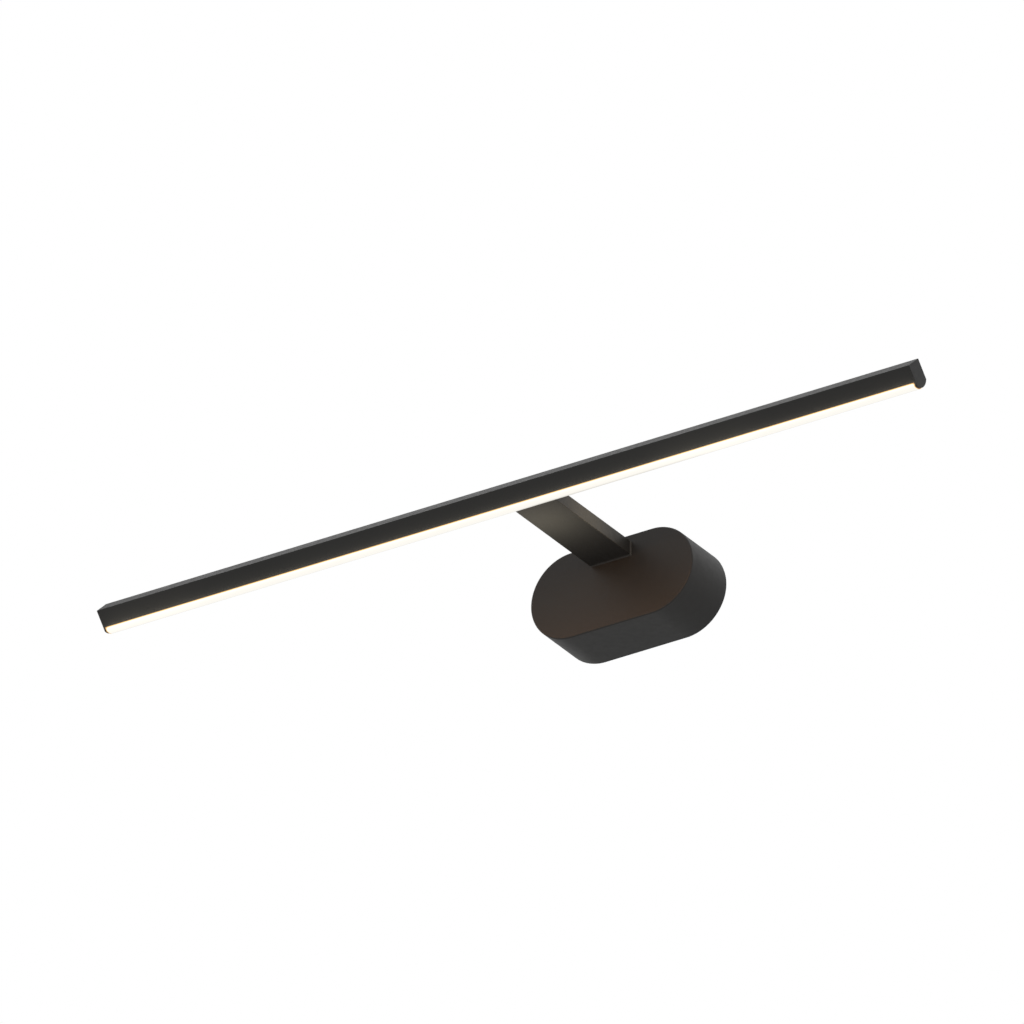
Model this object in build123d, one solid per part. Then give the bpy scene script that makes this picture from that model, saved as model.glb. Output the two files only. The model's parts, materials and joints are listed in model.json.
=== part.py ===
"""Wall-mounted vanity light bar, in millimetres.

A stadium-shaped canopy holds the LED driver and the supply terminals. A flat arm stands out of its upper
half and ends in a friction hinge. The hinge carries a slim aluminium bar whose domed opal diffuser
lights downwards and back towards the wall.

Frame: X along the bar, +Y into the wall, +Z up. The origin is on the wall, behind the canopy's centre.
The bar and all that turns with it are drawn in the hinge frame, whose origin is the hinge axis. There the
bar hangs upright, lighting straight down. bar_place() then turns it to its rest tilt and moves it to the
arm's end.
"""

import os
from math import radians, tan

from build123d import *

# ---------------------------------------------------------------- driving dimensions
BAR_LENGTH = 600.0  # the extrusion, between the end caps
END_CAP = 1.25
PROFILE_W, PROFILE_H = 14.5, 11.5  # outside width and height of the extrusion's section
DOME_SIDE, DOME_DEPTH = 2.75, 6.3  # diffuser below the seam: its straight sides, and its depth
CAP_DEPTH = 5.75  # end caps below the seam: the diffuser stands a little proud of them
REST_TILT = 42.0  # turn from lighting straight down, towards the wall

CANOPY_LENGTH, CANOPY_HEIGHT, CANOPY_DEPTH = 120.0, 60.0, 40.2  # depth includes the wall seal
CANOPY_WALL, CANOPY_FRONT = 2.0, 2.5
SEAL = 1.0  # wall seal's thickness

ARM_W, ARM_T, ARM_WALL = 30.0, 10.0, 1.5
ARM_Z = 20.0  # the arm's centre line above the canopy's centre
FOOT = 2.0  # foot seal between canopy and arm
HINGE_REACH = 105.2  # canopy's face to the hinge axis
FORK_SHOULDER = 9.6  # arm tube's end to the hinge axis

LEAD_D = 3.2  # two-core lead from the driver to the LED board
WIRE_D = 2.0  # single mains wires
CLEAR = 0.1  # side clearance of a slid-in part

# ---------------------------------------------------------------- places that follow
FACE_Y = -CANOPY_DEPTH  # canopy's front face
INNER_Y = FACE_Y + CANOPY_FRONT  # inside of the front wall
FOOT_Y = FACE_Y - FOOT  # where the arm tube starts
HINGE_Y = FACE_Y - HINGE_REACH
TUBE_END_Y = HINGE_Y + FORK_SHOULDER
FORK_FACE_Y = TUBE_END_Y - 3.0  # front of the fork's web, where the lead comes out
ARM_R = ARM_T / 2
TOP_IN = CANOPY_HEIGHT / 2 - CANOPY_WALL  # inside of the canopy's top wall

# screws: shank radius, tapped hole's radius, head radius, head height
M25, M25_HOLE, M25_HEAD, M25_HEAD_H = 1.2, 1.25, 2.3, 1.4
M3, M3_HOLE, M3_HEAD, M3_HEAD_H = 1.45, 1.5, 2.8, 1.7
M4, M4_HOLE, M4_HEAD, M4_HEAD_H = 1.95, 2.0, 3.5, 2.6
M25_FREE, M3_FREE, M4_FREE = 1.4, 1.7, 2.2  # clearance holes' radii
SINK_H = 1.4  # height of a countersunk M3 head
DRIVE_R, DRIVE_DEPTH = 0.9, 0.9  # hexagon socket

# canopy fixings and inner places
COVER_SCREW_X, COVER_SCREW_Y = 24.0, -8.0
BRACKET_T, TAB_DEPTH, TAB_HALF_X = 2.0, 14.0, 28.0
TAB_OUT = TOP_IN - 0.2
HOOK_X, HOOK_HALF, HOOK_Y0, HOOK_Y1 = 16.0, 3.0, -9.0, -6.0
WALL_HOLES, SLOT_LENGTH, SLOT_R = 60.0, 12.0, 2.5
ENTRY_Z, ENTRY_R, GROMMET_BORE = -13.0, 6.0, 4.0
ARM_SCREW_X = 9.0
CANOPY_EARTH = (36.0, 17.0)  # X and Z of the canopy's earth boss
BRACKET_EARTH = (-40.0, 9.0)
BOSS_R, EARTH_BOSS = 3.5, 4.0
WASHER_T = 0.8

# driver
DRIVER_HALF, DRIVER_Z0, DRIVER_Z1 = 41.0, -24.0, 7.0
DRIVER_Y0, DRIVER_Y1, DRIVER_WALL, LID_T = -35.5, -16.5, 1.5, 1.5
EAR_X, EAR_Z, EAR_T, EAR_Y = 46.5, -8.0, 2.0, -33.5
BOARD_T = 1.6
BOARD_Y = DRIVER_Y0 + DRIVER_WALL + 2.0

# terminal block
BLOCK_X, BLOCK_Z0, BLOCK_Z1, BLOCK_Y = 8.5, 0.0, 24.0, -14.5
POLE_Z, POLE_Y = (4.0, 12.0, 20.0), -8.0
BLOCK_SCREW_Z, BLOCK_SEAT_Y = (8.0, 16.0), -11.0
CLAMP_R, CLAMP_BORE = 2.2, 1.2

# hinge, across the arm
EAR_IN = 9.0  # inner face of the fork's ears
TONGUE_OUT, TONGUE_IN = 8.5, 5.3
TONGUE_R = 4.1
NUT_T, NUT_AF = 1.8, 5.5
COUNTERBORE_R, COUNTERBORE = 3.0, 2.0

# bar, in the hinge frame
REAR_Y = -7.3  # bar's rear face
TOP_Z = 6.84  # bar's top face
PLATE_T, PLATE_HALF = 2.0, 22.0
PLATE_Z0, PLATE_Z1 = -4.16, 5.34
PLATE_SCREW_X = 19.0
SKIN = 1.3
WEB_TOP, WEB_T = 7.2, 1.1  # depth of the LED shelf below the top face, and its thickness
MID_Y = REAR_Y - PROFILE_W / 2
WALL_IN = PROFILE_W / 2 - SKIN  # half width inside the extrusion
CHAMBER_Z = TOP_Z - (SKIN + WEB_TOP) / 2
SEAM_Z = TOP_Z - PROFILE_H
TAPE_T, LED_BOARD_T, LED_BOARD_W, LED_BOARD_L = 0.2, 1.0, 10.0, 594.0
LED_COUNT, LED_X, LED_Y, LED_T = 72, 3.5, 2.8, 0.7
DIFFUSER_T, FLANGE_T, LEG_T, LEG_H = 1.0, 0.8, 0.8, 1.5
CORE_D, CORE_X, CORE_GAP = 1.1, 24.75, 1.3
NUT_PLATE_T = 1.6
GROMMET_R, GROMMET_Z = 2.4, 2.0  # lead's hole through the plate and the bar's rear wall
LEAD_TURN_X = 16.0
LEAD_Y = MID_Y - 0.5


# ---------------------------------------------------------------- helpers
def block(x0, x1, y0, y1, z0, z1):
    """A box between two corners."""
    size = (x1 - x0, y1 - y0, z1 - z0)
    return Pos((x0 + x1) / 2, (y0 + y1) / 2, (z0 + z1) / 2) * Box(*size)


def outward(sketch, y, depth, x=0.0, z=0.0):
    """A sketch in the wall's plane, pulled out of the wall by depth from y."""
    plane = Plane(origin=(x, y, z), x_dir=(1, 0, 0), z_dir=(0, -1, 0))
    return extrude(plane * sketch, amount=depth)


def rod(radius, start, end):
    """A round bar between two points."""
    start, end = Vector(*start), Vector(*end)
    way = end - start
    return extrude(Plane(origin=start, z_dir=way) * Circle(radius), amount=way.length)


def ring(outer, inner, start, end):
    return rod(outer, start, end) - rod(inner, start, end)


def mirrored(shape):
    """A shape and its twin on the other side of the object's middle plane."""
    return [shape, mirror(shape, about=Plane.YZ)]


def countersink(seat, way):
    """The conical seat of a countersunk M3 screw."""
    align = (Align.CENTER, Align.CENTER, Align.MIN)
    cone = Cone(M3_HEAD + CLEAR, M3_FREE, SINK_H, align=align)
    return Plane(origin=seat, z_dir=way) * cone


def sunk_screw(seat, way, length):
    return screw(seat, way, M3, M3_HEAD, SINK_H, length, countersunk=True)


def screw(seat, way, shank, head, head_h, length, countersunk=False):
    """A socket screw whose head seats at seat. The shank runs along way. A countersunk head is flush there."""
    seat, way = Vector(*seat), Vector(*way).normalized()
    plane = Plane(origin=seat, z_dir=way)
    body = rod(shank, seat, seat + way * length)
    if countersunk:
        cone = Cone(head, shank, head_h, align=(Align.CENTER, Align.CENTER, Align.MIN))
        body += plane * cone
        face = seat
    else:
        face = seat - way * head_h
        body += rod(head, face, seat)
    drive = Plane(origin=face, z_dir=way) * RegularPolygon(DRIVE_R, 6)
    return body - extrude(drive, amount=DRIVE_DEPTH)


def corner_radii(points):
    """As large an arc at each corner as its two runs allow."""
    spots = [Vector(*p) for p in points]
    radii = []
    for a, b, c in zip(spots, spots[1:], spots[2:]):
        turn = (b - a).get_angle(c - b)
        shorter = min((b - a).length, (c - b).length)
        radii.append(0.45 * shorter / tan(radians(turn / 2)))
    return radii


def tube(points, diameter):
    """A wire or lead along straight runs joined by tangent arcs."""
    path = FilletPolyline(*points, radius=corner_radii(points)) if len(points) > 2 else Line(*points)
    section = Plane(origin=path @ 0, z_dir=path % 0) * Circle(diameter / 2)
    return sweep(section, path=path)


def bar_place():
    """From the hinge frame to the object's frame, at the rest tilt."""
    return Pos(0, HINGE_Y, ARM_Z) * Rot(REST_TILT, 0, 0)


# ---------------------------------------------------------------- canopy and its fixings
def canopy_cover():
    """Cast shell, open to the wall, with bosses for the driver and the earth screw."""
    rim = -SEAL
    shell = outward(SlotOverall(CANOPY_LENGTH, CANOPY_HEIGHT), rim, CANOPY_DEPTH - SEAL)
    front = shell.faces().sort_by(Axis.Y)[0]
    shell = fillet(front.edges(), 1.0)
    hollow = SlotOverall(CANOPY_LENGTH - 2 * CANOPY_WALL, CANOPY_HEIGHT - 2 * CANOPY_WALL)
    shell -= outward(hollow, rim, CANOPY_DEPTH - SEAL - CANOPY_FRONT)
    shell -= rod(3.5, (0, INNER_Y + 1, ARM_Z), (0, FACE_Y - 1, ARM_Z))
    ear_boss = rod(BOSS_R, (EAR_X, INNER_Y, EAR_Z), (EAR_X, EAR_Y, EAR_Z))
    hook_spot = (HOOK_X - HOOK_HALF, HOOK_X + HOOK_HALF, HOOK_Y0, HOOK_Y1)
    hook = block(*hook_spot, -TOP_IN, -TOP_IN + 3.2)
    for solid in mirrored(ear_boss) + mirrored(hook):
        shell += solid
    x, z = CANOPY_EARTH
    shell += rod(BOSS_R, (x, INNER_Y, z), (x, INNER_Y + EARTH_BOSS, z))
    shell -= rod(M4_HOLE, (x, INNER_Y - 1, z), (x, INNER_Y + EARTH_BOSS, z))
    arm_hole = rod(M4_FREE, (ARM_SCREW_X, INNER_Y, ARM_Z), (ARM_SCREW_X, FACE_Y, ARM_Z))
    ear_hole = rod(M3_HOLE, (EAR_X, INNER_Y - 1, EAR_Z), (EAR_X, EAR_Y, EAR_Z))
    spot = (COVER_SCREW_X, COVER_SCREW_Y)
    top = CANOPY_HEIGHT / 2
    cover_hole = rod(M3_FREE, (*spot, top), (*spot, TOP_IN))
    cover_hole += countersink((*spot, top), (0, 0, -1))
    for hole in mirrored(arm_hole) + mirrored(ear_hole) + mirrored(cover_hole):
        shell -= hole
    return shell


def wall_seal():
    """Foam ring between the canopy's rim and the wall."""
    lip, inset = 0.4, CANOPY_WALL
    outer = SlotOverall(CANOPY_LENGTH - 2 * lip, CANOPY_HEIGHT - 2 * lip)
    inner = SlotOverall(CANOPY_LENGTH - 2 * inset, CANOPY_HEIGHT - 2 * inset)
    return outward(outer - inner, 0, SEAL)


def wall_bracket():
    """Folded steel plate that is screwed to the wall. The canopy hooks on below and is screwed on above."""
    plate = outward(SlotOverall(108, 50), 0, BRACKET_T)
    plate += block(-TAB_HALF_X, TAB_HALF_X, -BRACKET_T, 0, -TAB_OUT, TAB_OUT)
    tab = block(-TAB_HALF_X, TAB_HALF_X, -TAB_DEPTH, 0, TAB_OUT - BRACKET_T, TAB_OUT)
    plate += tab
    plate += mirror(tab, about=Plane.XY)
    slot = outward(SlotOverall(SLOT_LENGTH, 2 * SLOT_R), 0, BRACKET_T, x=WALL_HOLES / 2)
    spot = (COVER_SCREW_X, COVER_SCREW_Y)
    tapped = rod(M3_HOLE, (*spot, TAB_OUT), (*spot, TAB_OUT - BRACKET_T))
    play = 0.5
    window_x = (HOOK_X - HOOK_HALF - play, HOOK_X + HOOK_HALF + play)
    window = block(*window_x, HOOK_Y0 - play, HOOK_Y1 + play, -TAB_OUT, -TAB_OUT + BRACKET_T)
    for hole in mirrored(slot) + mirrored(tapped) + mirrored(window):
        plate -= hole
    plate -= rod(ENTRY_R, (0, 0, ENTRY_Z), (0, -BRACKET_T, ENTRY_Z))
    x, z = BRACKET_EARTH
    plate -= rod(M4_HOLE, (x, 0, z), (x, -BRACKET_T, z))
    for z in BLOCK_SCREW_Z:
        plate -= rod(M25_HOLE, (0, 0, z), (0, -BRACKET_T, z))
    return plate


def cable_grommet():
    """Rubber ring in the bracket's cable hole. It is flush with the wall side."""
    flange_r, flange_t = 7.6, 1.5
    body = rod(ENTRY_R - CLEAR, (0, 0, ENTRY_Z), (0, -BRACKET_T, ENTRY_Z))
    body += rod(flange_r, (0, -BRACKET_T, ENTRY_Z), (0, -BRACKET_T - flange_t, ENTRY_Z))
    return body - rod(GROMMET_BORE, (0, 0, ENTRY_Z), (0, -BRACKET_T - flange_t, ENTRY_Z))


def cover_screws():
    seat = (COVER_SCREW_X, COVER_SCREW_Y, CANOPY_HEIGHT / 2)
    return mirrored(sunk_screw(seat, (0, 0, -1), 5.5))


def washer(x, y, z, thickness, side):
    return ring(4.2, M4_FREE, (x, y, z), (x, y + side * thickness, z))


def bracket_earth_screw():
    """Screw in the bracket for the supply's earth."""
    x, z = BRACKET_EARTH
    seat = (x, -BRACKET_T - WASHER_T, z)
    return screw(seat, (0, 1, 0), M4, M4_HEAD, M4_HEAD_H, 2.7)


def bracket_earth_washer():
    x, z = BRACKET_EARTH
    return washer(x, -BRACKET_T, z, WASHER_T, -1)


# ---------------------------------------------------------------- terminal block and wiring
def terminal_block():
    """Three-pole block: a through bore for the wires and a screw well for each pole."""
    body = block(-BLOCK_X, BLOCK_X, BLOCK_Y, -BRACKET_T, BLOCK_Z0, BLOCK_Z1)
    wells = [-5.0, 5.0]
    for z in POLE_Z:
        body -= rod(CLAMP_R, (-BLOCK_X, POLE_Y, z), (BLOCK_X, POLE_Y, z))
        for x in wells:
            body -= rod(1.9, (x, BLOCK_Y, z), (x, POLE_Y - 1, z))
    for z in BLOCK_SCREW_Z:
        body -= rod(M25_FREE, (0, BLOCK_Y, z), (0, -BRACKET_T, z))
        body -= rod(M25_HEAD + 0.3, (0, BLOCK_Y, z), (0, BLOCK_SEAT_Y, z))
    return body


def terminal_clamps():
    """One brass tube for each pole, tapped for its two screws."""
    tubes = []
    for z in POLE_Z:
        clamp = ring(CLAMP_R - 0.05, CLAMP_BORE, (-BLOCK_X + 1, POLE_Y, z), (BLOCK_X - 1, POLE_Y, z))
        for x in (-5.0, 5.0):
            clamp -= rod(1.25, (x, POLE_Y - 4, z), (x, POLE_Y, z))
        tubes.append(clamp)
    return tubes


def terminal_screws():
    screws = []
    for z in POLE_Z:
        for x in (-5.0, 5.0):
            body = rod(1.2, (x, POLE_Y - 4.2, z), (x, POLE_Y - 1.2, z))
            body += rod(1.7, (x, POLE_Y - 5.2, z), (x, POLE_Y - 4.2, z))
            body -= block(x - 1.7, x + 1.7, POLE_Y - 5.2, POLE_Y - 4.7, z - 0.25, z + 0.25)
            screws.append(body)
    return screws


def block_screws():
    """Two long screws between the poles, into the bracket."""
    length = -BLOCK_SEAT_Y - 0.4
    size = (M25, M25_HEAD, M25_HEAD_H, length)
    return [screw((0, BLOCK_SEAT_Y, z), (0, 1, 0), *size) for z in BLOCK_SCREW_Z]


LUG_Y = INNER_Y + EARTH_BOSS + 1.2  # centre of the lug's barrel
LIVE_ROUTE = [
    (DRIVER_HALF - DRIVER_WALL, -24, -2),
    (48, -24, -2),
    (50, -16, 6),
    (42, -9, 16),
    (26, -8, 20.5),
    (14, POLE_Y, POLE_Z[2]),
    (BLOCK_X - 3, POLE_Y, POLE_Z[2]),
]
NEUTRAL_ROUTE = [
    (DRIVER_HALF - DRIVER_WALL, -24, -9),
    (48, -24, -9),
    (52, -17, -3),
    (46, -9, 7),
    (30, -8, 9),
    (17, -7.6, POLE_Z[0] + 1),
    (BLOCK_X - 3, POLE_Y, POLE_Z[0]),
]
EARTH_ROUTE = [
    (BLOCK_X - 3, POLE_Y, POLE_Z[1]),
    (15, POLE_Y, POLE_Z[1]),
    (26, -11, 12.5),
    (38, -18, 12.5),
    (47, -22, 14),
    (49.5, LUG_Y, CANOPY_EARTH[1]),
    (CANOPY_EARTH[0] + 4.5, LUG_Y, CANOPY_EARTH[1]),
]


def earth_lug():
    """Ring terminal on the canopy's earth boss, with its crimp barrel."""
    x, z = CANOPY_EARTH
    y = INNER_Y + EARTH_BOSS
    lug = rod(4.2, (x, y, z), (x, y + WASHER_T, z))
    lug += rod(1.6, (x + 4.0, LUG_Y, z), (x + 8.5, LUG_Y, z))
    lug -= rod(WIRE_D / 2 + 0.05, (x + 4.4, LUG_Y, z), (x + 8.5, LUG_Y, z))
    return lug - rod(M4_FREE, (x, y, z), (x, y + WASHER_T, z))


def canopy_earth_screw():
    """Screw that clamps the ring terminal to the canopy's boss."""
    x, z = CANOPY_EARTH
    seat = (x, INNER_Y + EARTH_BOSS + WASHER_T, z)
    return screw(seat, (0, -1, 0), M4, M4_HEAD, M4_HEAD_H, 5.2)


# ---------------------------------------------------------------- driver
def driver_case():
    """Plastic tray, open to the wall side, with a screw ear at each end."""
    size = (-DRIVER_HALF, DRIVER_HALF, DRIVER_Y0, DRIVER_Y1, DRIVER_Z0, DRIVER_Z1)
    case = fillet(block(*size).edges().filter_by(Axis.Y), 2.0)
    t = DRIVER_WALL
    case -= block(
        -DRIVER_HALF + t, DRIVER_HALF - t, DRIVER_Y0 + t, DRIVER_Y1, DRIVER_Z0 + t, DRIVER_Z1 - t
    )
    ear = block(DRIVER_HALF - t, EAR_X + 4, EAR_Y, EAR_Y + EAR_T, EAR_Z - 4, EAR_Z + 4)
    ear -= rod(M3_FREE, (EAR_X, EAR_Y, EAR_Z), (EAR_X, EAR_Y + EAR_T, EAR_Z))
    for solid in mirrored(ear):
        case += solid
    for route in (LIVE_ROUTE, NEUTRAL_ROUTE):
        case -= rod(WIRE_D / 2 + CLEAR, (route[0][0] - 1, *route[0][1:]), route[1])
    case -= rod(LEAD_D / 2 + CLEAR, (LEAD_ROUTE[0][0] + 1, *LEAD_ROUTE[0][1:]), LEAD_ROUTE[1])
    peg = rod(2.0, (0, DRIVER_Y0 + t, 0), (0, BOARD_Y, 0))
    for x in (-34.0, 34.0):
        case += Pos(x, 0, DRIVER_Z0 + 5.0) * peg
        case += Pos(x, 0, DRIVER_Z1 - 5.0) * peg
    return case


def driver_lid():
    """Lid with a lip that plugs into the tray."""
    size = (-DRIVER_HALF, DRIVER_HALF, DRIVER_Y1, DRIVER_Y1 + LID_T, DRIVER_Z0, DRIVER_Z1)
    lid = fillet(block(*size).edges().filter_by(Axis.Y), 2.0)
    t, lip = DRIVER_WALL + CLEAR, 2.5
    half, low, high = DRIVER_HALF - t, DRIVER_Z0 + t, DRIVER_Z1 - t
    lid += block(-half, half, DRIVER_Y1 - lip, DRIVER_Y1, low, high)
    return lid - block(-half + t, half - t, DRIVER_Y1 - lip, DRIVER_Y1, low + t, high - t)


def driver_board():
    gap = DRIVER_WALL + 0.5
    half = DRIVER_HALF - gap
    return block(-half, half, BOARD_Y, BOARD_Y + BOARD_T, DRIVER_Z0 + gap, DRIVER_Z1 - gap)


def driver_transformer():
    """Ferrite core with two windows for the coil."""
    y0 = BOARD_Y + BOARD_T + 1.5
    y1 = y0 + 8
    core = block(-8, 8, y0, y1, -17, 1)
    for x0, x1 in ((-5.5, -2.0), (2.0, 5.5)):
        core -= block(x0, x1, y0, y1, -13.5, -2.5)
    return core


def driver_winding():
    """Taped coil around the core's middle leg."""
    y = BOARD_Y + BOARD_T
    coil = block(-5.3, 5.3, y, y + 11, -13.3, -2.7)
    return coil - block(-2.1, 2.1, y + 1.4, y + 9.6, -13.3, -2.7)


def driver_capacitors():
    """Three electrolytic cans, standing on the board."""
    y = BOARD_Y + BOARD_T
    cans = [(19.0, -15.0, 4.0, 11.5), (-17.0, -3.0, 4.0, 11.5), (-26.5, -3.0, 4.0, 11.5)]
    return [rod(r, (x, y, z), (x, y + h, z)) for x, z, r, h in cans]


def driver_choke():
    """Toroid of the mains filter."""
    y = BOARD_Y + BOARD_T
    return Plane(origin=(30.5, y + 3.0, -15.0), z_dir=(0, 1, 0)) * Torus(3.6, 2.0)


def driver_chips():
    """Film capacitor, fuse, bridge and controller."""
    y = BOARD_Y + BOARD_T
    film = block(12, 24, y, y + 9, -6, 0)
    fuse = rod(2.6, (31, y, 0), (31, y + 7, 0))
    bridge = block(13, 21, y, y + 3, 1.5, 4.5)
    controller = block(-20, -13, y, y + 1.6, -15, -10)
    diode = block(-31, -24, y, y + 3, -16, -11)
    return [film, fuse, bridge, controller, diode]


def driver_screws():
    seat = (EAR_X, EAR_Y + EAR_T, EAR_Z)
    return mirrored(screw(seat, (0, -1, 0), M3, M3_HEAD, M3_HEAD_H, 5.5))


# ---------------------------------------------------------------- arm
def arm_section(x_size, z_size, radius):
    return RectangleRounded(x_size, z_size, radius)


def screw_wells(x, y):
    """Two tapped holes in the top of a block slid into the arm."""
    return mirrored(rod(M3_HOLE, (x, y, ARM_Z), (x, y, ARM_Z + ARM_R)))


ANCHOR_LENGTH, ANCHOR_SCREW_Y = 16.0, FOOT_Y - 10.0
INSERT_LENGTH = 14.0
FORK_SCREW_Y = TUBE_END_Y + 7.0
TOP_SCREW_X = 8.0
SLIDE_X, SLIDE_Z = ARM_W - 2 * ARM_WALL - 2 * CLEAR, ARM_T - 2 * ARM_WALL - 2 * CLEAR
CABLE_HOLE_R = 2.3


def cable_bush():
    """Bush that guards the lead in the canopy's front wall."""
    bush = rod(3.4, (0, INNER_Y, ARM_Z), (0, FACE_Y, ARM_Z))
    bush += rod(4.6, (0, INNER_Y, ARM_Z), (0, INNER_Y + 1.2, ARM_Z))
    return bush - rod(LEAD_D / 2 + CLEAR, (0, INNER_Y + 1.2, ARM_Z), (0, FACE_Y, ARM_Z))


def arm_foot_seal():
    """Pad between the canopy and the arm, with the arm's outline."""
    pad = outward(arm_section(ARM_W, ARM_T, 0.6), FACE_Y, FOOT, z=ARM_Z)
    pad -= rod(CABLE_HOLE_R, (0, FACE_Y, ARM_Z), (0, FOOT_Y, ARM_Z))
    hole = rod(M4_FREE, (ARM_SCREW_X, FACE_Y, ARM_Z), (ARM_SCREW_X, FOOT_Y, ARM_Z))
    for solid in mirrored(hole):
        pad -= solid
    return pad


def arm_tube():
    """Flat rectangular tube. Its screws are in the top face, out of sight from below."""
    length = FOOT_Y - TUBE_END_Y
    section = arm_section(ARM_W, ARM_T, 0.6)
    section -= arm_section(ARM_W - 2 * ARM_WALL, ARM_T - 2 * ARM_WALL, 0.4)
    body = outward(section, FOOT_Y, length, z=ARM_Z)
    for y in (ANCHOR_SCREW_Y, FORK_SCREW_Y):
        top = ARM_Z + ARM_R
        hole = rod(M3_FREE, (TOP_SCREW_X, y, top), (TOP_SCREW_X, y, ARM_Z))
        hole += countersink((TOP_SCREW_X, y, top), (0, 0, -1))
        for solid in mirrored(hole):
            body -= solid
    return body


def slid_block(y, length):
    """A solid that slides into the arm tube from y, with the lead's bore and its own clearance."""
    body = outward(arm_section(SLIDE_X, SLIDE_Z, 0.3), y, length, z=ARM_Z)
    return body - rod(CABLE_HOLE_R, (0, y, ARM_Z), (0, y - length, ARM_Z))


def arm_anchor():
    """Tapped block in the arm's foot. The arm screws pull it against the canopy."""
    body = slid_block(FOOT_Y, ANCHOR_LENGTH)
    depth = ANCHOR_LENGTH - 4.0
    hole = rod(M4_HOLE, (ARM_SCREW_X, FOOT_Y, ARM_Z), (ARM_SCREW_X, FOOT_Y - depth, ARM_Z))
    for solid in mirrored(hole) + screw_wells(TOP_SCREW_X, ANCHOR_SCREW_Y):
        body -= solid
    return body


def top_screws(y):
    """Countersunk screws in the arm's top face."""
    seat = (TOP_SCREW_X, y, ARM_Z + ARM_R)
    return mirrored(sunk_screw(seat, (0, 0, -1), 4.6))


def arm_screws():
    """From inside the canopy, through its front wall, into the anchor."""
    seat = (ARM_SCREW_X, INNER_Y + WASHER_T, ARM_Z)
    return mirrored(screw(seat, (0, -1, 0), M4, M4_HEAD, M4_HEAD_H, 13.0))


def arm_washers():
    return mirrored(washer(ARM_SCREW_X, INNER_Y, ARM_Z, WASHER_T, 1))


def hinge_fork():
    """Block at the arm's end: a slid-in stem, a web with the lead's bore, and two rounded ears."""
    x, y = ARM_W / 2, HINGE_Y
    stem_y = TUBE_END_Y + INSERT_LENGTH
    body = outward(arm_section(ARM_W, ARM_T, 0.6), TUBE_END_Y, FORK_SHOULDER, z=ARM_Z)
    body += rod(ARM_R, (-x, y, ARM_Z), (x, y, ARM_Z))
    body -= block(-EAR_IN, EAR_IN, y - ARM_R - 1, FORK_FACE_Y, ARM_Z - ARM_T, ARM_Z + ARM_T)
    body += outward(arm_section(SLIDE_X, SLIDE_Z, 0.3), stem_y, INSERT_LENGTH, z=ARM_Z)
    body -= rod(CABLE_HOLE_R, (0, stem_y, ARM_Z), (0, FORK_FACE_Y, ARM_Z))
    body -= rod(M3_HOLE, (-x, y, ARM_Z), (x, y, ARM_Z))
    for side in (-1, 1):
        body -= rod(COUNTERBORE_R, (side * x, y, ARM_Z), (side * (x - COUNTERBORE), y, ARM_Z))
    for solid in screw_wells(TOP_SCREW_X, FORK_SCREW_Y):
        body -= solid
    return body


LEAD_ROUTE = [
    (-DRIVER_HALF + DRIVER_WALL, -26, -4),
    (-49, -26, -4),
    (-53, -25, 6),
    (-46, -23, 15),
    (-32, -21, 19),
    (-14, -21, ARM_Z),
    (0, -24, ARM_Z),
    (0, FORK_FACE_Y, ARM_Z),
]


# ---------------------------------------------------------------- hinge, bar side (hinge frame)
def hinge_bracket():
    """Plate on the bar's rear face, with two tongues that turn between the fork's ears."""
    face_y = REAR_Y + PLATE_T
    body = block(-PLATE_HALF, PLATE_HALF, REAR_Y, face_y, PLATE_Z0, PLATE_Z1)
    body = fillet(body.edges().filter_by(Axis.Y), 1.0)
    tongue = block(TONGUE_IN, TONGUE_OUT, face_y, 0, -TONGUE_R, TONGUE_R)
    tongue += rod(TONGUE_R, (TONGUE_IN, 0, 0), (TONGUE_OUT, 0, 0))
    for solid in mirrored(tongue):
        body += solid
    body -= rod(M3_HOLE, (-TONGUE_OUT, 0, 0), (TONGUE_OUT, 0, 0))
    body -= rod(GROMMET_R, (0, face_y, GROMMET_Z), (0, REAR_Y, GROMMET_Z))
    seat = (PLATE_SCREW_X, face_y, CHAMBER_Z)
    hole = rod(M3_FREE, seat, (PLATE_SCREW_X, REAR_Y, CHAMBER_Z))
    hole += countersink(seat, (0, -1, 0))
    for solid in mirrored(hole):
        body -= solid
    return body


def bracket_screws():
    seat = (PLATE_SCREW_X, REAR_Y + PLATE_T, CHAMBER_Z)
    return mirrored(sunk_screw(seat, (0, -1, 0), 5.6))


def bar_grommet():
    """Rubber sleeve around the lead, through the plate and the bar's rear wall."""
    ends = (0, REAR_Y + PLATE_T, GROMMET_Z), (0, REAR_Y - SKIN, GROMMET_Z)
    return ring(GROMMET_R - 0.05, LEAD_D / 2 + 0.05, *ends)


def nut_plate():
    """Steel strip inside the bar that the bracket screws pull against."""
    back = REAR_Y - SKIN
    half_h = 2.7
    body = block(
        -PLATE_HALF, PLATE_HALF, back - NUT_PLATE_T, back, CHAMBER_Z - half_h, CHAMBER_Z + half_h
    )
    body -= rod(GROMMET_R, (0, back, GROMMET_Z), (0, back - NUT_PLATE_T, GROMMET_Z))
    hole = rod(M3_HOLE, (PLATE_SCREW_X, back, CHAMBER_Z), (PLATE_SCREW_X, back - 2, CHAMBER_Z))
    for solid in mirrored(hole):
        body -= solid
    return body


def pivot_screws():
    """One screw in each ear. Each ends short of the middle, which stays open for the lead."""
    seat = ARM_W / 2 - COUNTERBORE + 0.05
    length = seat - (TONGUE_IN - NUT_T) + 0.2
    return mirrored(screw((seat, 0, 0), (-1, 0, 0), M3, M3_HEAD, M3_HEAD_H, length))


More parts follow.
